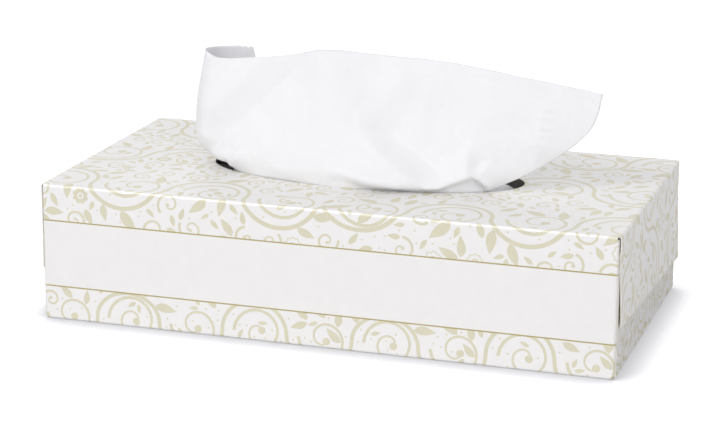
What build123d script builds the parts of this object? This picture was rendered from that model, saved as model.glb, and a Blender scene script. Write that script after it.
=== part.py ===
from build123d import *
import os
from math import cos, radians, sin

# A carton of facial tissues in use. Millimetres; X runs along the box, Y towards its back and Z up.
# The origin is the middle of the base.

# Carton, outside faces
box_length = 240.0
box_depth = 126.0
box_height = 57.0
board = 0.45
fold_radius = 1.2  # outside of every crease
seam_flap = 12.0  # glued up the inside of the back panel

# End flaps, counted outwards: two dust flaps, the lower flap, the outer flap
flap_inset = 1.8  # of the lower and outer flaps from the sides of the box
dust_flap = 48.0
dust_inset = 2.0  # of a dust flap from the top and bottom panels
lower_flap_gap = 6.5  # from the lower flap's free edge to the top of the box
outer_flap_front = 36.0  # the outer flap's free edge slants
outer_flap_back = 42.7
glued_band = 12.0  # the outer flap lies flat this far down, and springs out below it
flare = 1.3

# Oval opening in the top panel
opening_length = 134.0
opening_depth = 56.0

# Interfolded stack
headspace = 18.0
end_room = 13.6
side_room = 9.3
fold_round = 1.5  # of the stack's folded long sides

# Drawn sheet, as a soft body
sheet = 0.8
slack = 0.3  # between a soft body and what it lies against
drawn_height = 52.0  # above the top panel
rim_start = 183.0  # the stretch of the front rim that the sheet bears on, as ellipse angles
rim_end = 318.0
rim_steps = 10
foot_length = 0.78  # the sheet's foot on the stack, as shares of its stretch at the rim
foot_depth = 0.5
crest_left = 8.0  # how far the free edge reaches past the opening's ends
crest_right = 28.0
crest_bow = 14.0  # how far the free edge bows towards the front
tail_front = 8.0  # the laid part starts this far before the middle of the stack

# Next sheet, half lifted
lifted_start = 12.0
lifted_width = 44.0
lifted_lean = 18.0
lifted_back = 12.0
lifted_drop = 4.0  # its edge stays this far under the top of the box

half_length = box_length / 2
half_depth = box_depth / 2
mid_radius = fold_radius - board / 2
outer_face = half_length - board / 2
lower_face = outer_face - board
dust_face = lower_face - board
crease_start = dust_face - 2 * mid_radius
panel_mid = box_height - board / 2
flap_half = half_depth - flap_inset
stack_length = 2 * (dust_face - board / 2 - end_room)
stack_depth = box_depth - 3 * board - 2 * side_room
stack_top = box_height - board - headspace
opening_a = opening_length / 2
opening_b = opening_depth / 2
rim_room = slack + sheet / 2


def front_stretch(share_a, share_b):
    """Points along the front of the oval that keeps rim_room to the opening, or of a smaller oval."""
    angles = [rim_start + (rim_end - rim_start) * i / rim_steps for i in range(rim_steps + 1)]
    a = (opening_a - rim_room) * share_a
    b = (opening_b - rim_room) * share_b
    return [(a * cos(radians(angle)), b * sin(radians(angle))) for angle in angles]


# Carton. Each profile is the board's middle line, traced as wide as the board is thick. One half is
# made, from the middle to the right end, and mirrored.
with BuildPart() as carton:
    # Outer flap, from the top panel's crease down to its slanting free edge
    with BuildSketch(Plane.XZ):
        with BuildLine():
            FilletPolyline(
                (crease_start, panel_mid),
                (outer_face, panel_mid),
                (outer_face, box_height - glued_band),
                (outer_face + flare, box_height - outer_flap_back),
                radius=mid_radius,
            )
        trace(line_width=board)
    extrude(amount=flap_half, both=True)
    with BuildSketch(Plane.YZ.offset(outer_face - fold_radius)):
        with BuildLine():
            Polyline(
                (-half_depth, 0),
                (half_depth, 0),
                (half_depth, box_height - outer_flap_back),
                (-half_depth, box_height - outer_flap_front),
                close=True,
            )
        make_face()
    extrude(amount=2 * fold_radius + flare, mode=Mode.SUBTRACT)

    # Lower flap, from the bottom panel
    with BuildSketch(Plane.XZ):
        with BuildLine():
            FilletPolyline(
                (crease_start, board / 2),
                (lower_face, board / 2),
                (lower_face, box_height - lower_flap_gap),
                radius=mid_radius,
            )
        trace(line_width=board)
    extrude(amount=flap_half, both=True)

    # Dust flaps, from the front and back panels
    for side in (-1, 1):
        with BuildSketch(Plane.XY.offset(dust_inset)):
            with BuildLine():
                FilletPolyline(
                    (crease_start, side * (half_depth - board / 2)),
                    (dust_face, side * (half_depth - board / 2)),
                    (dust_face, side * (half_depth - dust_flap)),
                    radius=mid_radius,
                )
            trace(line_width=board)
        extrude(amount=box_height - 2 * dust_inset)

    # The four panels round the box, from the seam flap's cut edge, round the bottom, front and top,
    # and down the back as far as the seam
    with BuildSketch(Plane.YZ):
        with BuildLine():
            FilletPolyline(
                (half_depth - 1.5 * board, seam_flap),
                (half_depth - 1.5 * board, board / 2),
                (-half_depth + board / 2, board / 2),
                (-half_depth + board / 2, panel_mid),
                (half_depth - board / 2, panel_mid),
                (half_depth - board / 2, seam_flap),
                radius=mid_radius,
            )
        trace(line_width=board)
    extrude(amount=crease_start)
    # The rest of the back panel lies over the seam flap and stops at its crease
    with BuildSketch(Plane.YZ):
        with BuildLine():
            Line((half_depth - board / 2, seam_flap), (half_depth - board / 2, fold_radius))
        trace(line_width=board)
    extrude(amount=crease_start)
    mirror(about=Plane.YZ)

    # Oval opening
    with BuildSketch(Plane.XY.offset(box_height - 2 * board)):
        Ellipse(opening_a, opening_b)
    extrude(amount=3 * board, mode=Mode.SUBTRACT)
carton.part.label = "carton"

# Interfolded stack: the sheets' folds are its two long sides
with BuildPart() as tissue_stack:
    with BuildSketch(Plane.XY.offset(board)):
        Rectangle(stack_length, stack_depth)
    extrude(amount=stack_top - board)
    fillet(tissue_stack.edges().filter_by(Axis.X), radius=fold_round)
tissue_stack.part.label = "tissue_stack"

# Drawn sheet: its laid part on the stack, then up past the front rim to the free edge
foot_level = stack_top + slack
with BuildPart() as drawn_tissue:
    with BuildSketch(Plane.XY.offset(foot_level)):
        with BuildLine():
            Spline(front_stretch(foot_length, foot_depth))
        trace(line_width=sheet)
    with BuildSketch(Plane.XY.offset(box_height)):
        with BuildLine():
            Spline(front_stretch(1, 1))
        trace(line_width=sheet)
    with BuildSketch(Plane.XY.offset(box_height + drawn_height)):
        with BuildLine():
            Spline(
                (-opening_a - crest_left, 0),
                (-opening_a / 2, -crest_bow),
                (opening_a / 2, -crest_bow),
                (opening_a + crest_right, 0),
            )
        trace(line_width=sheet)
    loft(ruled=True)
    with BuildSketch(Plane.XY.offset(foot_level)):
        with Locations((0, (stack_depth / 2 - tail_front) / 2)):
            Rectangle(stack_length, stack_depth / 2 + tail_front)
    extrude(amount=sheet)
drawn_tissue.part.label = "drawn_tissue"

# Next sheet: laid over the drawn one's tail, with one side lifted towards the opening
laid_level = foot_level + sheet + slack
with BuildPart() as next_tissue:
    with BuildSketch(Plane.XY.offset(laid_level)):
        with Locations((0, (stack_depth / 2 + lifted_back) / 2)):
            Rectangle(stack_length, stack_depth / 2 - lifted_back)
    extrude(amount=sheet)
    with BuildSketch(Plane.YZ.offset(lifted_start)):
        with BuildLine():
            Polyline(
                (lifted_back + sheet, laid_level + sheet / 2),
                (lifted_back, laid_level + sheet / 2),
                (lifted_back - lifted_lean, box_height - lifted_drop),
            )
        trace(line_width=sheet)
    extrude(amount=lifted_width)
next_tissue.part.label = "next_tissue"

os.makedirs("parts", exist_ok=True)
export_step(carton.part, "parts/carton.step")
export_step(tissue_stack.part, "parts/tissue_stack.step")
export_step(drawn_tissue.part, "parts/drawn_tissue.step")
export_step(next_tissue.part, "parts/next_tissue.step")
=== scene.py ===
import random
from math import atan2, ceil, cos, hypot, pi, radians, sin, tau

import bpy
import numpy as np
from mathutils import Matrix, Vector, noise
from mathutils.geometry import delaunay_2d_cdt


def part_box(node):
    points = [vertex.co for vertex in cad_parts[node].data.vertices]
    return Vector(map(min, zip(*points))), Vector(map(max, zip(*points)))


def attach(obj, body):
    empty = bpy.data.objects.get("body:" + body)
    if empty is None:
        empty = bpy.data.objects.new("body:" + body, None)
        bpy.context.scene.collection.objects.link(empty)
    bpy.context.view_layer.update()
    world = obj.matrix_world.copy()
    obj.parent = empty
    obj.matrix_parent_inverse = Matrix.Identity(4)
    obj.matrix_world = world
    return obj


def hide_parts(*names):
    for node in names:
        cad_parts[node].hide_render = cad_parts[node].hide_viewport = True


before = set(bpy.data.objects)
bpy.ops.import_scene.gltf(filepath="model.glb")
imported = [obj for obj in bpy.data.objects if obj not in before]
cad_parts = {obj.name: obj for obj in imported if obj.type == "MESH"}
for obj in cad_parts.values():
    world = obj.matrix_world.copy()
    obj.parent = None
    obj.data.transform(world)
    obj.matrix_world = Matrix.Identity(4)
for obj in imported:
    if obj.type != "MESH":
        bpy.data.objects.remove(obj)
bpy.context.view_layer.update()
bpy.ops.object.select_all(action="DESELECT")

# ---------------------------------------------------------------------------------------------
# Camera, lamps and stage: a long lens from the right of the front, a soft key from the upper
# left, and a white sweep that keeps only the box's own shadow.
camera_azimuth = radians(17.56)
camera_elevation = radians(15.635)
camera_roll = radians(0.414)
camera_data = bpy.data.cameras.new("camera")
camera_data.lens = 112.6
camera_data.sensor_width = 36.0
camera_data.clip_start = 0.05
camera_data.clip_end = 20.0
camera = bpy.data.objects.new("camera", camera_data)
camera.matrix_world = (
    Matrix.Translation((0.2734, -0.8714, 0.2950))
    @ Matrix.Rotation(camera_azimuth, 4, "Z")
    @ Matrix.Rotation(pi / 2 - camera_elevation, 4, "X")
    @ Matrix.Rotation(camera_roll, 4, "Z")
)
bpy.context.scene.collection.objects.link(camera)
bpy.context.scene.camera = camera
bpy.context.scene.view_settings.view_transform = "Standard"


def lamp(name, place, aim, size, power, gloss_only=False):
    """A soft square lamp at place that faces aim. With gloss_only it shows in highlights alone."""
    data = bpy.data.lights.new(name, "AREA")
    data.shape = "SQUARE"
    data.size = size
    data.energy = power
    obj = bpy.data.objects.new(name, data)
    obj.location = place
    obj.rotation_euler = (Vector(aim) - Vector(place)).to_track_quat("-Z", "Y").to_euler()
    obj.visible_diffuse = not gloss_only
    bpy.context.scene.collection.objects.link(obj)


lamp("key", (-0.95, -1.35, 1.25), (0.0, 0.0, 0.05), 0.6, 11.4)
lamp("fill", (0.9, -1.6, 0.9), (0.0, 0.0, 0.05), 1.2, 9.2)
lamp("edge", (-0.45, -0.42, 1.5), (0.0, -0.06, 0.05), 0.8, 26.0, gloss_only=True)
lamp("side", (1.0, 0.0, 1.5), (0.12, 0.0, 0.03), 0.25, 1.0)
lamp("rim", (-0.5, 1.4, 1.3), (0.0, 0.0, 0.08), 0.8, 2.0)


def node(tree, kind, inputs=None, **settings):
    """A new shader node with its settings and the values of its inputs."""
    made = tree.nodes.new(kind)
    for key, value in settings.items():
        setattr(made, key, value)
    for key, value in (inputs or {}).items():
        made.inputs[key].default_value = value
    return made


world = bpy.data.worlds.new("studio")
bpy.context.scene.world = world
world.use_nodes = True
world.node_tree.nodes.clear()
world_path = node(world.node_tree, "ShaderNodeLightPath")
world_glossy = node(world.node_tree, "ShaderNodeMath", operation="MAXIMUM")
world_shown = node(world.node_tree, "ShaderNodeMath", operation="MAXIMUM")
white = (1.0, 1.0, 1.0, 1.0)
world_lit = node(world.node_tree, "ShaderNodeBackground", {"Color": white, "Strength": 0.56})
world_seen = node(world.node_tree, "ShaderNodeBackground", {"Color": white, "Strength": 1.0})
world_mix = node(world.node_tree, "ShaderNodeMixShader")
world_out = node(world.node_tree, "ShaderNodeOutputWorld")
for source, target in (
    (world_path.outputs["Is Glossy Ray"], world_glossy.inputs[0]),
    (world_path.outputs["Is Transmission Ray"], world_glossy.inputs[1]),
    (world_glossy.outputs[0], world_shown.inputs[0]),
    (world_path.outputs["Is Camera Ray"], world_shown.inputs[1]),
    (world_shown.outputs[0], world_mix.inputs["Fac"]),
    (world_lit.outputs[0], world_mix.inputs[1]),
    (world_seen.outputs[0], world_mix.inputs[2]),
    (world_mix.outputs[0], world_out.inputs["Surface"]),
):
    world.node_tree.links.new(source, target)

bpy.ops.mesh.primitive_plane_add(size=12.0, location=(0.0, 0.0, -0.0002))
floor = bpy.context.object
floor.name = "floor"
floor_paint = bpy.data.materials.new("floor_paint")
floor_paint.use_nodes = True
floor_tree = floor_paint.node_tree
floor_tree.nodes.clear()
floor_diffuse = node(floor_tree, "ShaderNodeBsdfDiffuse")
floor_tone = node(floor_tree, "ShaderNodeMix", data_type="RGBA")
floor_tone.inputs[6].default_value = (0.86, 0.86, 0.87, 1.0)
floor_tone.inputs[7].default_value = (0.38, 0.38, 0.41, 1.0)
floor_lift = node(floor_tree, "ShaderNodeEmission", {"Color": white})
floor_path = node(floor_tree, "ShaderNodeLightPath")
floor_gain = node(floor_tree, "ShaderNodeMath", operation="MULTIPLY")
floor_gain.inputs[1].default_value = 0.92
# Close to the box the floor's lift fades, which makes the soft line of shadow that it stands in
floor_near = node(floor_tree, "ShaderNodeAmbientOcclusion", {"Distance": 0.016}, samples=12)
floor_dark = node(floor_tree, "ShaderNodeMath", operation="POWER")
floor_dark.inputs[1].default_value = 1.5
floor_least = node(floor_tree, "ShaderNodeMath", operation="MAXIMUM")
floor_least.inputs[1].default_value = 0.38
floor_shade = node(floor_tree, "ShaderNodeMath", operation="MULTIPLY")
floor_add = node(floor_tree, "ShaderNodeAddShader")
floor_out = node(floor_tree, "ShaderNodeOutputMaterial")
for source, target in (
    (floor_path.outputs["Is Camera Ray"], floor_tone.inputs["Factor"]),
    (floor_tone.outputs[2], floor_diffuse.inputs["Color"]),
    (floor_path.outputs["Is Camera Ray"], floor_gain.inputs[0]),
    (floor_near.outputs["AO"], floor_dark.inputs[0]),
    (floor_dark.outputs[0], floor_least.inputs[0]),
    (floor_least.outputs[0], floor_shade.inputs[0]),
    (floor_gain.outputs[0], floor_shade.inputs[1]),
    (floor_shade.outputs[0], floor_lift.inputs["Strength"]),
    (floor_diffuse.outputs[0], floor_add.inputs[0]),
    (floor_lift.outputs[0], floor_add.inputs[1]),
    (floor_add.outputs[0], floor_out.inputs["Surface"]),
):
    floor_tree.links.new(source, target)
floor.data.materials.append(floor_paint)
bpy.ops.object.select_all(action="DESELECT")

# ---------------------------------------------------------------------------------------------
# Carton: one sheet of bleached white board, printed flat in beige and gold, cut, creased, folded
# round four walls and glued at the back seam and at both ends. Lengths here are in millimetres on
# the flat blank: u runs along the box, s runs round it from the back panel's cut edge.
mm = 0.001
carton_low, carton_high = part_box("carton")
depth = (carton_high.y - carton_low.y) / mm
height = (carton_high.z - carton_low.z) / mm
length = 240.0
board = 0.45
fold = 1.2
crease = fold - board / 2
crease_run = crease * pi / 2
crease_steps = 6
rounding = 1e-3  # a point this near a crease's end belongs to the next wall
seam_flap = 12.0
flap_inset = 1.8
dust_flap = 48.0
dust_inset = 2.0
lower_flap_gap = 6.5
glued_band = 12.0
flare = 1.3
outer_flap_front = 36.0
outer_flap_back = 42.7
opening_a = 67.0
opening_b = 28.0
flare_angle = atan2(flare, outer_flap_back - glued_band)
flare_share = {1.0: 1.0, -1.0: 0.35}  # the left end is pressed flatter

# Each wall's straight run round the box, and the level of the end flap that grows from it
wall_runs = {
    "back": height - 2 * fold,
    "top": depth - 2 * fold,
    "front": height - 2 * fold,
    "bottom": depth - 2 * fold - board,
    "seam": seam_flap - fold,
}
wall_start = {}
blank_girth = 0.0
for wall, run in wall_runs.items():
    wall_start[wall] = blank_girth
    blank_girth += run + (crease_run if wall != "seam" else 0.0)
outer_level = length / 2 - board / 2
flap_level = {"top": outer_level, "bottom": outer_level - board}
flap_level["front"] = flap_level["back"] = flap_level["seam"] = outer_level - 2 * board
panel_end = flap_level["front"] - 0.35


def round_box(s):
    """The board's middle line at s: its wall, its point (y, z) and its outward normal."""
    y, z, heading = depth / 2 - board / 2, fold, pi / 2
    for wall, run in wall_runs.items():
        if s <= run or wall == "seam":
            return wall, y + s * cos(heading), z + s * sin(heading), sin(heading), -cos(heading)
        y += run * cos(heading)
        z += run * sin(heading)
        s -= run
        centre_y, centre_z = y - crease * sin(heading), z + crease * cos(heading)
        if s < crease_run - rounding:
            turned = heading + s / crease
            out_y, out_z = sin(turned), -cos(turned)
            return wall, centre_y + crease * out_y, centre_z + crease * out_z, out_y, out_z
        heading += pi / 2
        y, z = centre_y + crease * sin(heading), centre_z - crease * cos(heading)
        s -= crease_run


def folded(u, s, lift=0.0):
    """A point of the blank on the folded box, lift outwards of the board's middle, and its normal."""
    wall, y, z, normal_y, normal_z = round_box(s)
    past = abs(u) - (flap_level[wall] - crease)
    side = 1.0 if u >= 0 else -1.0
    spring = flare_angle * flare_share[side]
    x, drop, outward, tilt = abs(u), 0.0, 0.0, 1.0
    if past > 0.0:
        turned = min(past / crease, pi / 2)
        x = flap_level[wall] - crease + crease * sin(turned)
        drop = crease * (1 - cos(turned))
        outward, tilt = sin(turned), cos(turned)
        straight = past - crease_run
        if straight > 0.0:
            flat = min(straight, glued_band - fold) if wall == "top" else straight
            drop += flat + (straight - flat) * cos(spring)
            x += (straight - flat) * sin(spring)
            if straight > flat:
                outward, tilt = cos(spring), sin(spring)
    normal = Vector((side * outward, tilt * normal_y, tilt * normal_z))
    point = Vector((side * x, y - drop * normal_y, z - drop * normal_z)) + lift * normal
    return point * mm, normal


def flap_end(wall, reach):
    """How far along u a flap runs on the blank, if it reaches that far from its wall's outside."""
    return flap_level[wall] - crease + crease_run + reach - fold


def top_at(y):
    """s of a line at y on the top panel."""
    return wall_start["top"] + depth / 2 - fold - y


def front_at(z):
    """s of a line at height z on the front panel."""
    return wall_start["front"] + height - fold - z


def back_at(z):
    """s of a line at height z on the back panel."""
    return wall_start["back"] + z - fold


outer_long = flap_end("top", glued_band + (outer_flap_back - glued_band) / cos(flare_angle))
outer_short = flap_end("top", glued_band + (outer_flap_front - glued_band) / cos(flare_angle))
dust_end = flap_end("front", dust_flap)
lower_end = flap_end("bottom", height - lower_flap_gap)
dust_run = (dust_inset - fold, height - dust_inset - fold)
flap_run = (flap_inset - fold, depth - flap_inset - fold)
right_edge = [(panel_end, 0.0)]
for wall, (near, far), ends in (
    ("back", dust_run, (dust_end, dust_end)),
    ("top", flap_run, (outer_long, outer_short)),
    ("front", dust_run, (dust_end, dust_end)),
    ("bottom", flap_run, (lower_end, lower_end)),
):
    run, shoulder = wall_runs[wall], flap_level[wall] + 1.5
    for along, reach in (
        (0.0, panel_end), (0.0, shoulder), (near, ends[0]), (far, ends[1]), (run, shoulder), (run, panel_end)
    ):
        right_edge.append((reach, wall_start[wall] + along))
right_edge.append((panel_end, blank_girth))
outline = right_edge + [(-u, s) for u, s in reversed(right_edge)]
oval_steps = 96
oval = [
    (opening_a * cos(tau * i / oval_steps), top_at(opening_b * sin(tau * i / oval_steps)))
    for i in range(oval_steps)
]

fold_lines = []
for wall in ("back", "top", "front", "bottom"):
    for i in range(crease_steps + 1):
        s = wall_start[wall] + wall_runs[wall] + crease_run * i / crease_steps
        fold_lines.append(((-panel_end, s), (panel_end, s)))
    stops = [flap_level[wall] - crease + crease_run * i / crease_steps for i in range(crease_steps + 1)]
    if wall == "top":
        stops.append(flap_end("top", glued_band))
    for u in stops:
        for side in (-1, 1):
            fold_lines.append(((side * u, wall_start[wall]), (side * u, wall_start[wall] + wall_runs[wall])))

# The print: vines that wave along the sheet, each hollow filled by a spiral, with leaves, flowers,
# seed pods and rows of dots between them. prints holds (ink, outline), later ones on top.
draw = random.Random(11)
prints = []
taken = {}
cell = 6.0


def mark(x, y, r):
    """Notes that ink covers a disc of the blank."""
    taken.setdefault((int(x // cell), int(y // cell)), []).append((x, y, r))


def room_at(x, y, reach=2):
    """How far the nearest ink is from a point, up to a couple of cells."""
    column, row = int(x // cell), int(y // cell)
    room = reach * cell
    for i in range(column - reach, column + reach + 1):
        for j in range(row - reach, row + reach + 1):
            for px, py, r in taken.get((i, j), ()):
                room = min(room, hypot(x - px, y - py) - r)
    return room


def ink(points):
    prints.append(("ink", points))


def bare(points):
    prints.append(("bare", points))


def stroke(line, start_width, end_width):
    """A vine along a line of points, tapering from one width to the other."""
    left, right = [], []
    last = len(line) - 1
    for i, (x, y) in enumerate(line):
        ahead, behind = line[min(i + 1, last)], line[max(i - 1, 0)]
        run = hypot(ahead[0] - behind[0], ahead[1] - behind[1]) or 1.0
        half = (start_width + (end_width - start_width) * i / last) / 2
        nx, ny = -(ahead[1] - behind[1]) / run * half, (ahead[0] - behind[0]) / run * half
        left.append((x + nx, y + ny))
        right.append((x - nx, y - ny))
        mark(x, y, half)
    ink(left + right[::-1])


def disc(x, y, r, sides=10):
    return [(x + r * cos(tau * i / sides), y + r * sin(tau * i / sides)) for i in range(sides)]


def shape_at(x, y, heading, outline_points):
    """Points given along and across a heading, moved to their place on the blank."""
    c, s = cos(heading), sin(heading)
    return [(x + a * c - b * s, y + a * s + b * c) for a, b in outline_points]


def leaf_form(long, wide, bend):
    """A pointed leaf from its stalk at (0, 0), with its tip bent to one side."""
    steps = 7
    upper = [
        (long * i / steps, wide / 2 * sin(pi * (i / steps) ** 0.8) + bend * (i / steps) ** 2)
        for i in range(steps + 1)
    ]
    lower = [
        (long * i / steps, -wide / 2 * sin(pi * (i / steps) ** 0.8) + bend * (i / steps) ** 2)
        for i in range(steps - 1, 0, -1)
    ]
    return upper + lower


def leaf(x, y, heading, long, wide, bend=0.0, stalk=0.8):
    """A leaf a stalk's length away from x, y. Returns whether there was room for it."""
    start = (x + stalk * cos(heading), y + stalk * sin(heading))
    for share in (0.35, 0.65, 0.95):
        px, py = shape_at(*start, heading, [(long * share, bend * share * share)])[0]
        if room_at(px, py) < wide * (0.62 if share < 0.9 else 0.35):
            return False
    ink(shape_at(*start, heading, leaf_form(long, wide, bend)))
    for share in (0.25, 0.5, 0.75):
        px, py = shape_at(*start, heading, [(long * share, bend * share * share)])[0]
        mark(px, py, wide * 0.42)
    return True


def flower(x, y, r, petals):
    """Round petals about a bare ring and a filled eye."""
    steps = petals * 6
    rim = []
    for i in range(steps):
        swell = 0.80 + 0.20 * abs(sin(pi * petals * i / steps))
        rim.append((x + r * swell * cos(tau * i / steps), y + r * swell * sin(tau * i / steps)))
    ink(rim)
    bare(disc(x, y, r * 0.42, 12))
    ink(disc(x, y, r * 0.24, 8))
    mark(x, y, r)


def open_flower(x, y, r, petals):
    """The same flower drawn in outline."""
    line = 0.45
    steps = petals * 6
    rim, inner = [], []
    for i in range(steps):
        swell = 0.80 + 0.20 * abs(sin(pi * petals * i / steps))
        c, s = cos(tau * i / steps), sin(tau * i / steps)
        rim.append((x + r * swell * c, y + r * swell * s))
        inner.append((x + (r * swell - line) * c, y + (r * swell - line) * s))
    ink(rim)
    bare(inner)
    ink(disc(x, y, r * 0.40, 12))
    bare(disc(x, y, r * 0.22, 8))
    mark(x, y, r)


def pod(x, y, heading, long):
    """A seed pod: three nested drops, the outer one in outline."""
    for share, kind in ((1.0, "ink"), (0.86, "bare"), (0.56, "ink"), (0.34, "bare")):
        form = leaf_form(long * share, long * 0.52 * share, 0.0)
        shifted = [(a + long * 0.42 * (1 - share), b) for a, b in form]
        prints.append((kind, shape_at(x, y, heading, shifted)))
    for share in (0.2, 0.5, 0.8):
        mark(x + long * share * cos(heading), y + long * share * sin(heading), long * 0.24)


def spiral(cx, cy, start, radius, turns, hand, width):
    """A branch that curls inwards about a centre and ends in a round bud. Returns its line."""
    steps = int(22 * turns)
    bud = 0.13 * radius
    line = []
    for i in range(steps + 1):
        share = i / steps
        r = bud + (radius - bud) * (1 - share) ** 0.92
        angle = start + hand * tau * turns * share
        line.append((cx + r * cos(angle), cy + r * sin(angle)))
    stroke(line, width, width * 0.55)
    ink(disc(*line[-1], bud * 1.15))
    mark(*line[-1], bud)
    return line


def vine(start, end, wave, leaf_long=8.5, width=1.25):
    """A waving stem from start to end with a spiral in each hollow and leaves along both."""
    ux, uy = end[0] - start[0], end[1] - start[1]
    run = hypot(ux, uy)
    heading = atan2(uy, ux)
    halves = max(2, round(run / wave))
    half_run = run / halves
    hand = draw.choice((-1, 1))
    lines = []
    for k in range(halves):
        cx, cy = shape_at(*start, heading, [((k + 0.5) * half_run, 0.0)])[0]
        tall = half_run * draw.uniform(0.40, 0.52)
        arc = []
        for i in range(21):
            turn = pi * i / 20
            arc.append((-half_run / 2 * cos(turn), hand * tall * sin(turn)))
        line = shape_at(cx, cy, heading, arc)
        stroke(line, width, width)
        lines.append((line, hand))
        turns = draw.uniform(1.25, 1.6)
        curl_x, curl_y = cx + 0.08 * half_run * cos(heading), cy + 0.08 * half_run * sin(heading)
        curl = spiral(curl_x, curl_y, heading + pi, half_run * 0.40, turns, -hand, width * 0.85)
        lines.append((curl[:-12], -hand))
        hand = -hand
    for line, side in lines:
        for i in range(1, len(line) - 1, 3):
            x, y = line[i]
            along = atan2(line[i + 1][1] - line[i - 1][1], line[i + 1][0] - line[i - 1][0])
            for turn in (side, -side):
                if draw.random() < 0.8:
                    long = leaf_long * draw.uniform(0.65, 1.1)
                    aim = along + turn * radians(draw.uniform(38, 62))
                    leaf(x, y, aim, long, long * 0.42, -turn * long * 0.16)


def fill(low_u, high_u, low_s, high_s, step):
    """Fills what is left free of a stretch with flowers, pods, leaves and dots."""
    spots = []
    for i in range(ceil((high_u - low_u) / step)):
        for j in range(ceil((high_s - low_s) / step)):
            spots.append((low_u + (i + draw.random()) * step, low_s + (j + draw.random()) * step))
    draw.shuffle(spots)
    for least, wanted in ((4.9, "curl"), (4.1, "flower"), (3.6, "pod"), (2.2, "leaves"), (1.25, "dot")):
        for x, y in spots:
            room = room_at(x, y)
            if room < least:
                continue
            if wanted == "curl" and draw.random() < 0.55:
                hand = draw.choice((-1, 1))
                start, radius = draw.uniform(0, tau), min(room - 0.7, 5.2)
                curl = spiral(x, y, start, radius, draw.uniform(1.0, 1.3), hand, 1.15)
                leaf(*curl[0], draw.uniform(0, tau), 5.5, 2.4, 0.8)
            elif wanted == "flower" and draw.random() < 0.45:
                form = draw.choice((flower, open_flower, open_flower))
                form(x, y, min(room - 0.6, draw.uniform(3.2, 4.4)), draw.choice((7, 8, 10)))
            elif wanted == "pod" and draw.random() < 0.4:
                pod(x, y, draw.uniform(0, tau), min(room * 1.25, 6.0))
            elif wanted == "dot":
                ink(disc(x, y, 0.42, 6))
                mark(x, y, 0.75)
            else:
                aim = draw.uniform(0, tau)
                long = min(room * 1.8, draw.uniform(7.0, 10.0))
                back_x, back_y = x - long * 0.4 * cos(aim), y - long * 0.4 * sin(aim)
                for turn in (draw.choice((0.0, 0.72)), -0.72):
                    leaf(back_x, back_y, aim + turn, long, long * 0.42, -turn * long * 0.25)


u_end = outer_long + 6.0
for y, wave in ((-53.0, 32.0), (45.0, 33.0)):
    vine((-u_end, top_at(y + 4.0)), (0.0, top_at(y - 3.0)), wave, leaf_long=10.5, width=1.8)
    vine((0.0, top_at(y - 3.0)), (u_end, top_at(y + 4.0)), wave, leaf_long=10.5, width=1.8)
vine((-u_end, top_at(1.0)), (-opening_a + 6.0, top_at(-6.0)), 33.0, width=1.7)
vine((opening_a - 6.0, top_at(-4.0)), (u_end, top_at(-1.0)), 33.0, width=1.7)
fill(-u_end, u_end, back_at(42.0), front_at(42.0), 4.2)

rule_low = 14.2
rule_high = 42.0
rule_width = 0.55
strip = panel_end + crease_run + 3.0
for strip_at in (front_at, back_at):
    vine((-strip, strip_at(2.5)), (strip, strip_at(5.5)), 27.0, leaf_long=9.5, width=1.6)
    low_s, high_s = sorted((strip_at(-1.0), strip_at(rule_low)))
    fill(-strip, strip, low_s, high_s, 3.8)


def band(kind, reach, near, far):
    """Prints a stretch of the blank from -reach to reach along it and from near to far round it."""
    prints.append((kind, [(-reach, near), (reach, near), (reach, far), (-reach, far)]))


# The plain band on the front and back, between its two gold rules
for at in (front_at, back_at):
    band("bare", strip, at(rule_low), at(rule_high))
    for z in (rule_low, rule_high):
        band("rule", strip, at(z - rule_width / 2), at(z + rule_width / 2))

# The lower end flaps carry the same vines; the bottom panel is bare but for a narrow bleed
bottom_end = wall_start["bottom"] + wall_runs["bottom"] - 1.0
band("bare", flap_level["bottom"] - crease, front_at(-2.0), bottom_end)
lower_low = wall_start["bottom"] + flap_run[0]
lower_high = wall_start["bottom"] + flap_run[1]
for side in (-1, 1):
    middle = side * (flap_level["bottom"] + 14.0)
    vine((middle, lower_low - 4.0), (middle, lower_high + 4.0), 21.0, leaf_long=7.0, width=1.0)
    low_u, high_u = sorted((side * (flap_level["bottom"] + 1.0), side * (flap_level["bottom"] + 30.0)))
    fill(low_u, high_u, lower_low, lower_high, 3.8)

# Cut the blank along its outline, creases and ink, fold it and give it its thickness


def cut_flat(shapes, lines):
    """Triangles between the edges of shapes and lines on the flat blank. Returns the points, the
    triangles, their middles and, for each point given, its place among those returned."""
    points, edges = [], []
    for shape in shapes:
        first = len(points)
        points += [Vector(p) for p in shape]
        edges += [(first + i, first + (i + 1) % len(shape)) for i in range(len(shape))]
    for a, b in lines:
        edges.append((len(points), len(points) + 1))
        points += [Vector(a), Vector(b)]
    found, _, triangles, sources, _, _ = delaunay_2d_cdt(points, edges, [], 0, 1e-4)
    at = {source: i for i, given in enumerate(sources) for source in given}
    places = np.array(found)
    return found, triangles, places[np.array(triangles)].mean(axis=1), at


def inside(shape, points):
    """Which of the points lie inside a closed outline, as a mask."""
    corners = np.array(shape)
    low, high = corners.min(axis=0), corners.max(axis=0)
    near = np.flatnonzero(((points >= low) & (points <= high)).all(axis=1))
    x, y = points[near, 0], points[near, 1]
    odd = np.zeros(len(near), bool)
    for (ax, ay), (bx, by) in zip(corners, np.roll(corners, -1, axis=0)):
        if ay != by:
            odd ^= ((ay > y) != (by > y)) & (x < (bx - ax) * (y - ay) / (by - ay) + ax)
    mask = np.zeros(len(points), bool)
    mask[near[odd]] = True
    return mask


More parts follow.
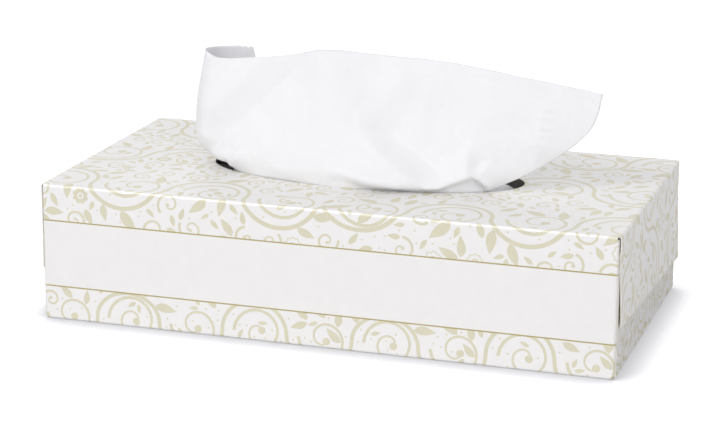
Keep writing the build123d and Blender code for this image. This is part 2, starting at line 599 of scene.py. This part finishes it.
slot_of = {"bare": 0, "ink": 1, "rule": 2}
cut_points, cut_faces, middles, _ = cut_flat([outline, oval] + [shape for _, shape in prints], fold_lines)
on_board = inside(outline, middles) & ~inside(oval, middles)
printed = np.zeros(len(middles), int)
for kind, shape in prints:
    printed[inside(shape, middles)] = slot_of[kind]
outer_faces = [tuple(reversed(cut_faces[i])) for i in np.flatnonzero(on_board)]
# The lower end flaps take matte copies of the board and ink whose darker colours are painted shade, standing
# in for the shadow under the outer flaps
shaded_lower_flaps = (np.abs(middles[:, 0]) > flap_level["bottom"]) & (middles[:, 1] > wall_start["bottom"])
shaded_lower_flaps &= middles[:, 1] < wall_start["bottom"] + wall_runs["bottom"]
printed[shaded_lower_flaps] += 4
outer_slots = printed[on_board].tolist()
kept = sorted({i for face in outer_faces for i in face})
renumbered = {i: k for k, i in enumerate(kept)}
cut_points = [cut_points[i] for i in kept]
outer_faces = [tuple(renumbered[i] for i in face) for face in outer_faces]

edge_count = {}
for face in outer_faces:
    for a, b in zip(face, face[1:] + face[:1]):
        edge_count[(a, b)] = True
rim_next = {a: b for a, b in edge_count if (b, a) not in edge_count}
loops = []
while rim_next:
    start, at = next(iter(rim_next.items()))
    loop = [start]
    del rim_next[start]
    while at != start:
        loop.append(at)
        at = rim_next.pop(at)
    loops.append(loop)

rims = [[tuple(cut_points[i]) for i in loop] for loop in loops]
in_points, in_faces, in_middles, in_at = cut_flat(rims, fold_lines)
in_board = inside(outline, in_middles) & ~inside(oval, in_middles)

vertices, normals, faces, slots = [], [], [], []
for point in cut_points:
    place, normal = folded(point.x, point.y, board / 2)
    vertices.append(place)
    normals.append(normal)
inner_first = len(vertices)
for point in in_points:
    place, normal = folded(point.x, point.y, -board / 2)
    vertices.append(place)
    normals.append(-normal)
corner_normals = []
for face, slot in zip(outer_faces, outer_slots):
    faces.append(face)
    slots.append(slot)
    corner_normals += [normals[i] for i in face]
for k in np.flatnonzero(in_board):
    faces.append(tuple(i + inner_first for i in in_faces[k]))
    slots.append(3)
    corner_normals += [normals[i + inner_first] for i in in_faces[k]]
rim_first = 0
for loop in loops:
    for k, a in enumerate(loop):
        after = (k + 1) % len(loop)
        b = loop[after]
        c = inner_first + in_at[rim_first + after]
        d = inner_first + in_at[rim_first + k]
        faces.append((b, a, d, c))
        slots.append(3)
        edge_normal = (vertices[a] - vertices[b]).cross(vertices[c] - vertices[b]).normalized()
        corner_normals += [edge_normal] * 4
    rim_first += len(loop)
carton_mesh = bpy.data.meshes.new("carton_board")
carton_mesh.from_pydata(vertices, [], faces)
carton_mesh.polygons.foreach_set("material_index", slots)
carton_mesh.normals_split_custom_set(corner_normals)
carton = bpy.data.objects.new("carton_board", carton_mesh)
bpy.context.scene.collection.objects.link(carton)


def fibre_group():
    """Paper fibre: a fine mottle between 0 and 1 and a height for bump, from Object coordinates."""
    tree = bpy.data.node_groups.new("paper_fibre", "ShaderNodeTree")
    tree.interface.new_socket("Scale", in_out="INPUT", socket_type="NodeSocketFloat")
    tree.interface.new_socket("Mottle", in_out="OUTPUT", socket_type="NodeSocketFloat")
    tree.interface.new_socket("Height", in_out="OUTPUT", socket_type="NodeSocketFloat")
    given = node(tree, "NodeGroupInput")
    put = node(tree, "NodeGroupOutput")
    place = node(tree, "ShaderNodeTexCoord")
    cloudy = node(tree, "ShaderNodeTexNoise", {"Detail": 4.0, "Roughness": 0.6})
    fine = node(tree, "ShaderNodeTexNoise", {"Detail": 3.0, "Roughness": 0.7})
    finer = node(tree, "ShaderNodeMath", operation="MULTIPLY")
    finer.inputs[1].default_value = 9.0
    for source, target in (
        (place.outputs["Object"], cloudy.inputs["Vector"]),
        (place.outputs["Object"], fine.inputs["Vector"]),
        (given.outputs["Scale"], cloudy.inputs["Scale"]),
        (given.outputs["Scale"], finer.inputs[0]),
        (finer.outputs[0], fine.inputs["Scale"]),
        (cloudy.outputs["Fac"], put.inputs["Mottle"]),
        (fine.outputs["Fac"], put.inputs["Height"]),
    ):
        tree.links.new(source, target)
    return tree


paper_fibre = fibre_group()


def linear(red, green, blue):
    """A colour given in display values from 0 to 255."""
    return tuple(((c / 255 + 0.055) / 1.055) ** 2.4 for c in (red, green, blue)) + (1.0,)


def paper(name, colour, shade, roughness, fibre_scale, bump, coat=0.0):
    """A paper or board finish: its colour mottled towards a shade, with fibre in the bump."""
    material = bpy.data.materials.new(name)
    material.use_nodes = True
    tree = material.node_tree
    surface = tree.nodes["Principled BSDF"]
    surface.inputs["Roughness"].default_value = roughness
    surface.inputs["Coat Weight"].default_value = coat
    surface.inputs["Coat Roughness"].default_value = 0.35
    fibre = node(tree, "ShaderNodeGroup", node_tree=paper_fibre)
    fibre.inputs["Scale"].default_value = fibre_scale
    blend = node(tree, "ShaderNodeMix", data_type="RGBA")
    blend.inputs[6].default_value = colour
    blend.inputs[7].default_value = shade
    relief = node(tree, "ShaderNodeBump", {"Strength": bump, "Distance": 0.0002})
    tree.links.new(fibre.outputs["Mottle"], blend.inputs["Factor"])
    tree.links.new(blend.outputs[2], surface.inputs["Base Color"])
    tree.links.new(fibre.outputs["Height"], relief.inputs["Height"])
    tree.links.new(relief.outputs["Normal"], surface.inputs["Normal"])
    return material


for name, colour, shade, roughness, fibre_scale, bump, coat in (
    ("coated_board", (240, 238, 238), (235, 233, 232), 0.42, 260.0, 0.10, 0.35),
    ("beige_ink", (219, 214, 191), (212, 207, 183), 0.45, 320.0, 0.10, 0.30),
    ("gold_ink", (182, 168, 106), (168, 154, 92), 0.40, 320.0, 0.10, 0.0),
    ("raw_board", (233, 230, 224), (219, 215, 207), 0.85, 500.0, 0.40, 0.0),
    # Slots 4 and 5 dress the lower end flaps: matte, uncoated copies, darkened as painted shade for the
    # shadow under the outer flaps
    ("matte_board_painted_shade", (226, 224, 224), (220, 218, 217), 0.62, 260.0, 0.15, 0.0),
    ("matte_ink_painted_shade", (205, 200, 178), (198, 193, 170), 0.62, 320.0, 0.15, 0.0),
):
    finish = paper(name, linear(*colour), linear(*shade), roughness, fibre_scale, bump, coat)
    carton_mesh.materials.append(finish)
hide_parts("carton")
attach(carton, "root")

# ---------------------------------------------------------------------------------------------
# Tissue stack: some forty interfolded two-ply sheets left in the box. Their folds are its two long
# sides and their cut edges its two ends, and the pack lies loose on the bottom panel.
stack_low, stack_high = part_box("tissue_stack")
stack_cuts = 60
leaf_gap = 0.30 * mm
stack_round = 1.5 * mm
bpy.ops.mesh.primitive_cube_add(size=1.0)
stack = bpy.context.object
stack.name = "tissue_stack_leaves"
bpy.ops.object.mode_set(mode="EDIT")
bpy.ops.mesh.select_all(action="SELECT")
bpy.ops.mesh.subdivide(number_cuts=stack_cuts)
bpy.ops.object.mode_set(mode="OBJECT")


def places_of(mesh):
    """A mesh's points as an array of rows."""
    flat = np.empty(len(mesh.vertices) * 3)
    mesh.vertices.foreach_get("co", flat)
    return flat.reshape(-1, 3)


stack_share = places_of(stack.data) + 0.5
stack_row = np.rint(stack_share[:, 2] * (stack_cuts + 1)).astype(int)
stack_places = np.array(stack_low) + stack_share * np.array(stack_high - stack_low)
near_end = np.minimum(stack_places[:, 2] - stack_low.z, stack_high.z - stack_places[:, 2])
past_round = np.maximum(stack_round - near_end, 0.0)
rounded = stack_round - np.sqrt(np.maximum(stack_round**2 - past_round**2, 0.0))
for axis, pull in ((0, 0.0), (1, 1.0)):
    on_side = (stack_share[:, axis] < 1e-4) | (stack_share[:, axis] > 1 - 1e-4)
    wobble = 0.5 + 0.5 * np.sin(stack_row * 2.399 + stack_places[:, 1 - axis] * 40.0)
    inward = np.where(stack_row % 2 == 1, leaf_gap * (0.5 + wobble), 0.0) + pull * rounded
    stack_places[:, axis] -= np.sign(stack_share[:, axis] - 0.5) * inward * on_side
stack.data.vertices.foreach_set("co", stack_places.ravel())
stack.data.update()
bpy.ops.object.shade_smooth_by_angle(angle=radians(50))
stack_paint = paper("stacked_tissue", linear(246, 246, 248), linear(238, 238, 240), 0.92, 500.0, 0.35)
stack.data.materials.append(stack_paint)
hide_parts("tissue_stack")
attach(stack, "root")
bpy.ops.object.select_all(action="DESELECT")

# ---------------------------------------------------------------------------------------------
# Drawn tissue: one two-ply sheet of creped paper, 210 by 212 mm, pulled up by its free edge. Its
# left side has rolled back, it leans on the front of the opening, and its other end still lies
# folded on the stack. Places are in millimetres: a runs across the sheet, b down from its free edge.
tissue_wide = 210.0
tissue_long = 212.0
ply = 0.15
tail_level = 39.45  # of the part that lies on the stack, before it turns under
under_level = 38.97  # of the part turned under, on the stack itself
tissue_paint = paper("tissue_paper", linear(241, 241, 244), linear(236, 236, 239), 0.92, 420.0, 0.30)


def through(stops, values, at):
    """A smooth curve through the rows of values at stops, read at each place in at."""
    stops, values, at = np.array(stops, float), np.array(values, float), np.array(at, float)
    slopes = np.gradient(values, stops, axis=0)
    k = np.clip(np.searchsorted(stops, at, side="right") - 1, 0, len(stops) - 2)
    shape = (len(at),) + (1,) * (values.ndim - 1)
    gap = (stops[k + 1] - stops[k]).reshape(shape)
    t = ((at - stops[k]) / (stops[k + 1] - stops[k])).reshape(shape)
    start = (2 * t**3 - 3 * t**2 + 1) * values[k] + (t**3 - 2 * t**2 + t) * gap * slopes[k]
    return start + (3 * t**2 - 2 * t**3) * values[k + 1] + (t**3 - t**2) * gap * slopes[k + 1]


def ease(low, high, at):
    """A smooth step from 0 at low to 1 at high."""
    share = np.clip((at - low) / (high - low), 0.0, 1.0)
    return share * share * (3 - 2 * share)


def bump_at(x, z, middle, size, turn=0.0):
    """A soft rise of 1 at middle that fades over size, turned in the plane."""
    dx, dz = x - middle[0], z - middle[1]
    along, across = dx * cos(turn) + dz * sin(turn), dz * cos(turn) - dx * sin(turn)
    return np.exp(-((along / size[0]) ** 2) - (across / size[1]) ** 2)


def crease_at(x, z, start, end, stops, heights, fade):
    """A crease from start to end: its heights at stops across it, from left to right, and its fade at
    either end."""
    run = hypot(end[0] - start[0], end[1] - start[1])
    ux, uz = (end[0] - start[0]) / run, (end[1] - start[1]) / run
    along = (x - start[0]) * ux + (z - start[1]) * uz
    across = (x - start[0]) * -uz + (z - start[1]) * ux
    near = ease(-fade[0], fade[0], along) * (1 - ease(run - fade[1], run + fade[1], along))
    return np.interp(across, stops, heights) * near


def wrinkle(places, size, seed):
    """Ridged noise between 0 and 1 over places, the way thin paper crumples."""
    return np.array([1.0 - 2.0 * abs(noise.noise(Vector(p) / size + Vector((seed, 0, 0)))) for p in places])


def thin_sheet(name, places):
    """A sheet whose grid points are places[row, column], given the thickness of its two plies."""
    rows, columns = places.shape[:2]
    bpy.ops.mesh.primitive_grid_add(x_subdivisions=columns - 1, y_subdivisions=rows - 1, size=1.0)
    made = bpy.context.object
    made.name = name
    grid = places_of(made.data)
    column = np.rint((grid[:, 0] + 0.5) * (columns - 1)).astype(int)
    row = np.rint((grid[:, 1] + 0.5) * (rows - 1)).astype(int)
    made.data.vertices.foreach_set("co", (places[row, column] * mm).ravel())
    made.data.update()
    bpy.ops.object.shade_smooth()
    plies = made.modifiers.new("plies", "SOLIDIFY")
    plies.thickness = ply * mm
    plies.offset = 0.0
    bpy.ops.object.modifier_apply(modifier=plies.name)
    return made


drawn_stops = (0, 10, 20, 30, 41, 59, 77, 91, 116, 138, 159, 177, 195, 210)
drawn_rows = {
    0: ((-52, 4.5, 106.6), (-59.5, 5.5, 105.4), (-67, 2, 105.2), (-69.9, -5, 105.2), (-62, -11.5, 103.6),
        (-43, -12, 105.3), (-28, -13, 107.4), (-17, -14, 110.2), (9, -10, 109), (30, -9, 108.2),
        (50, -8, 106.2), (67, -7, 103.4), (84, -4.5, 100.6), (99, -3, 98)),
    12: ((-50, 5.5, 95), (-60, 7, 94), (-68.8, 3.5, 93.5), (-72.3, -4.5, 93.2), (-66.3, -13, 92.5),
         (-46, -15, 94), (-27, -16, 96), (-13, -17.5, 98), (10, -14, 97.5), (31, -12.5, 97),
         (50, -11, 95.5), (68, -9, 93), (84, -6, 90.8), (97.3, -4, 89)),
    28: ((-48, 6, 79), (-60, 8, 79), (-70, 4, 78.5), (-74.4, -4, 78), (-68, -14.5, 77.5),
         (-48, -19, 78.5), (-28, -21, 80), (-12, -22.5, 81.5), (11.5, -19.5, 81), (31, -17.5, 81),
         (49, -15, 81), (65, -12, 81), (80, -9, 80.5), (91.5, -6, 79.5)),
    40: ((-46, 6, 68), (-59, 8, 67), (-69, 4, 66.8), (-73.6, -4, 66.6), (-67.3, -14.5, 66.6),
         (-49, -21.5, 66.5), (-30, -25, 68), (-13, -26.5, 69.5), (10.5, -25, 69.5), (28, -22.5, 69.5),
         (43, -20, 70), (57, -16, 70.3), (69.5, -12.5, 70.5), (80, -8.5, 70.3)),
    48: ((-46, 7, 61), (-57, 7, 60.5), (-65.5, 3, 61.2), (-69.6, -4, 61.4), (-63.4, -12, 61.6),
         (-50.5, -19.5, 61), (-32, -25.5, 61.5), (-14.5, -28, 62.3), (9, -28, 62.3), (26, -25.5, 62),
         (38.5, -22.5, 62), (49.5, -19.5, 62.3), (58.5, -16, 62.5), (66.5, -12.3, 62.3)),
    54: ((-48, 8, 56), (-55, 7, 56), (-59, 3, 56.6), (-61, -2, 57.2), (-57, -8.6, 57.4),
         (-51.5, -17, 57.2), (-36, -23.1, 57.2), (-15, -26.9, 57.2), (8, -27.4, 57.2), (25, -25.5, 57.2),
         (36, -23.1, 57.2), (44.5, -20.4, 57.2), (50.5, -17.9, 57.2), (56, -14.8, 57.2)),
    60: ((-54, 9, 51), (-57, 6, 51), (-60, 2, 51.3), (-58, -2.5, 51.8), (-54.5, -8.5, 52),
         (-49, -16, 52), (-34, -21.8, 52), (-14.5, -25.3, 52), (7.5, -25.8, 52), (23.5, -24, 52),
         (34, -21.8, 52), (42, -19.3, 52), (48, -16.8, 52), (53, -13.5, 52)),
    72: ((-68, 9, 42), (-65, 6, 42), (-62, 1, 42.5), (-58, -3, 43), (-54, -7, 43),
         (-46, -11, 43), (-32, -14.5, 43), (-14, -17, 43), (7, -17.5, 43), (22, -16.5, 43),
         (32, -15, 43), (40, -13.5, 43), (46, -11.5, 43), (51, -9, 43)),
    80: ((-82, 9, 39.6), (-77, 6, 39.6), (-72, 3, 39.6), (-66, -1, 39.6), (-60, -4, 39.6),
         (-49, -7, 39.6), (-34, -9, 39.6), (-15, -10, 39.6), (8, -10, 39.6), (24, -9.5, 39.6),
         (36, -8.5, 39.6), (46, -7.5, 39.6), (55, -5.5, 39.6), (63, -3, 39.6)),
    95: ((-98, 14, 39.45), (-90, 12, 39.45), (-82, 10, 39.45), (-74, 8, 39.45), (-65, 7, 39.45),
         (-51, 6, 39.45), (-35, 5.5, 39.45), (-16, 5, 39.45), (9, 5, 39.45), (28, 5.5, 39.45),
         (45, 6, 39.45), (62, 7.5, 39.45), (78, 9.5, 39.45), (92, 12, 39.45)),
}
for b, y, z in (
    (115, 26, tail_level),
    (141, 51.4, tail_level),
    (142.2, 52.0, 39.2),
    (143.4, 51.4, under_level),
    (170, 25, under_level),
    (212, -7, under_level),
):
    drawn_rows[b] = tuple((a - tissue_wide / 2 + 0.2, y, z) for a in drawn_stops)
drawn_a = np.linspace(0.0, tissue_wide, 190)
drawn_b = np.concatenate(
    (
        np.arange(0.0, 62.0, 1.0),
        np.arange(62.0, 140.0, 3.0),
        np.arange(140.0, 145.0, 0.4),
        np.linspace(146.0, tissue_long, 23),
    )
)
drawn_keys = np.array([through(drawn_stops, row, drawn_a) for row in drawn_rows.values()])
drawn_places = through(list(drawn_rows), drawn_keys, drawn_b)
# The curves swing past the turn, so the stretches that lie flat are put back to their levels
before_turn = drawn_b < 141.0
drawn_places[before_turn, :, 2] = np.maximum(drawn_places[before_turn, :, 2], tail_level)
drawn_places[(drawn_b > 95.0) & before_turn, :, 2] = tail_level
drawn_places[drawn_b > 143.3, :, 2] = under_level

# What the standing part does: the fold across its middle, the bulges over the rim and the crimps
x, z = drawn_places[..., 0], drawn_places[..., 2]
forward = 4.4 * bump_at(x, z, (11.0, 61.8), (14.0, 3.4), -0.12)
forward += 3.4 * bump_at(x, z, (-59.0, 62.0), (9.0, 3.4), 0.25)
forward += crease_at(x, z, (-55.5, 58.0), (-48.5, 66.5), (-7, 0, 2.4, 8), (0, 2.0, -1.6, 0), (2.0, 2.0))
forward += crease_at(x, z, (8.0, 75.5), (35.5, 58.0), (-16, 0, 5.5, 30), (0, 4.2, -4.2, 0), (7.0, 3.0))
forward += crease_at(x, z, (-16.0, 111.0), (8.0, 75.0), (-14, 0, 7, 22), (0, 0.8, -0.7, 0), (3.0, 8.0))
forward += crease_at(x, z, (-70.0, 64.0), (-28.0, 105.0), (-20, -3, 8, 26), (0, -1.7, 1.8, 0), (8.0, 8.0))
forward += crease_at(x, z, (22.0, 110.0), (36.0, 82.0), (-26, -8, 0, 22), (0, 0.5, -0.9, 0), (2.0, 8.0))
forward += crease_at(x, z, (35.0, 58.0), (51.0, 64.5), (-2.0, 0.4, 11), (-1.2, 4.6, 0), (3.0, 2.0))
forward += crease_at(x, z, (57.0, 57.5), (50.5, 64.5), (-9, -0.5, 1.3, 3), (0, 3.4, 0, 0), (2.0, 2.0))
for k in range(5):
    forward += 0.55 * bump_at(x, z, (78.5 - 0.9 * k, 91.0 - 3.5 * k), (5.0 - 0.4 * k, 1.15), -0.12)
crumple = wrinkle((drawn_places * (1, 0.5, 1)).reshape(-1, 3), 17.0, 3.0).reshape(x.shape)
forward += 0.75 * (crumple - 0.55)
crumple = wrinkle((drawn_places * (1, 0.5, 1)).reshape(-1, 3), 6.0, 8.0).reshape(x.shape)
forward += 0.18 * (crumple - 0.5)
jagged = np.interp(drawn_a, (0, 1.5, 3.2, 5, 7, 9), (1.6, 0.2, 1.3, 0.1, 0.7, 0))
drawn_places[..., 2] -= jagged * ease(9.0, 0.0, drawn_b)[:, None]
standing = ease(57.3, 59.8, z) * ease(30.0, 44.0, drawn_a)[None, :]
drawn_places[..., 1] -= forward * standing
drawn = thin_sheet("drawn_tissue_sheet", drawn_places)
drawn.data.materials.append(tissue_paint)
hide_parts("drawn_tissue")
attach(drawn, "root")
bpy.ops.object.select_all(action="DESELECT")

# ---------------------------------------------------------------------------------------------
# Next tissue: the sheet that the drawn one is folded into. Its upper half lies on the drawn sheet's
# end, with a tongue of it pulled up towards the opening, and its lower half lies on the stack.
turn_start, turn_end, last_row = 54.0, 58.0, 165.0  # how far down the sheet its turn begins and ends
turn_y, turn_middle, turn_radius = 51.8, 39.535, 0.815
laid_level = 40.35
next_columns = np.linspace(-104.8, 104.8, 150)
next_rows = np.concatenate(
    (
        np.arange(0.0, 40.0, 1.0),
        np.arange(40.0, turn_start, 2.0),
        np.arange(turn_start, 59.0, 0.35),
        np.linspace(60.0, last_row, 36),
    )
)
edge_y = 18.0 - 13.0 * ease(-40.0, 0.0, next_columns)
laid_share = np.clip(next_rows / turn_start, 0.0, 1.0)[:, None]
turned = np.clip((next_rows - turn_start) / (turn_end - turn_start), 0.0, 1.0)[:, None] * pi
under = np.clip((next_rows - turn_end) / (last_row - turn_end), 0.0, 1.0)[:, None]
next_places = np.empty((len(next_rows), len(next_columns), 3))
next_places[..., 0] = next_columns
next_places[..., 1] = edge_y + (turn_y - edge_y) * laid_share + turn_radius * np.sin(turned) - 104.6 * under
next_places[..., 2] = turn_middle + turn_radius * np.cos(turned)
tongue = through(
    (0, 4, 9, 16, 26, 36, 44, turn_start),
    (
        (-4.5, 51.5),
        (-3.2, 54.6),
        (1.5, 55.7),
        (8.5, 54.4),
        (16.0, 48.5),
        (23.0, 42.4),
        (31.0, 40.4),
        (turn_y, laid_level),
    ),
    np.minimum(next_rows, turn_start),
)
raised = ease(8.0, 34.0, next_columns) * (1 - ease(58.0, 68.0, next_columns))
raised = raised[None, :] * (1 - ease(44.0, turn_start, next_rows))[:, None]
next_places[..., 1] += raised * (tongue[:, :1] - next_places[..., 1])
next_places[..., 2] += raised * (np.maximum(tongue[:, 1:], laid_level) - next_places[..., 2])
crumple = wrinkle(next_places.reshape(-1, 3), 14.0, 5.0).reshape(raised.shape)
next_places[..., 2] -= 1.4 * (1 - crumple) * raised
laid = next_rows <= turn_start
next_places[laid, :, 2] = np.maximum(next_places[laid, :, 2], laid_level)
next_sheet = thin_sheet("next_tissue_sheet", next_places)
next_sheet.data.materials.append(tissue_paint)
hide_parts("next_tissue")
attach(next_sheet, "root")
bpy.ops.object.select_all(action="DESELECT")
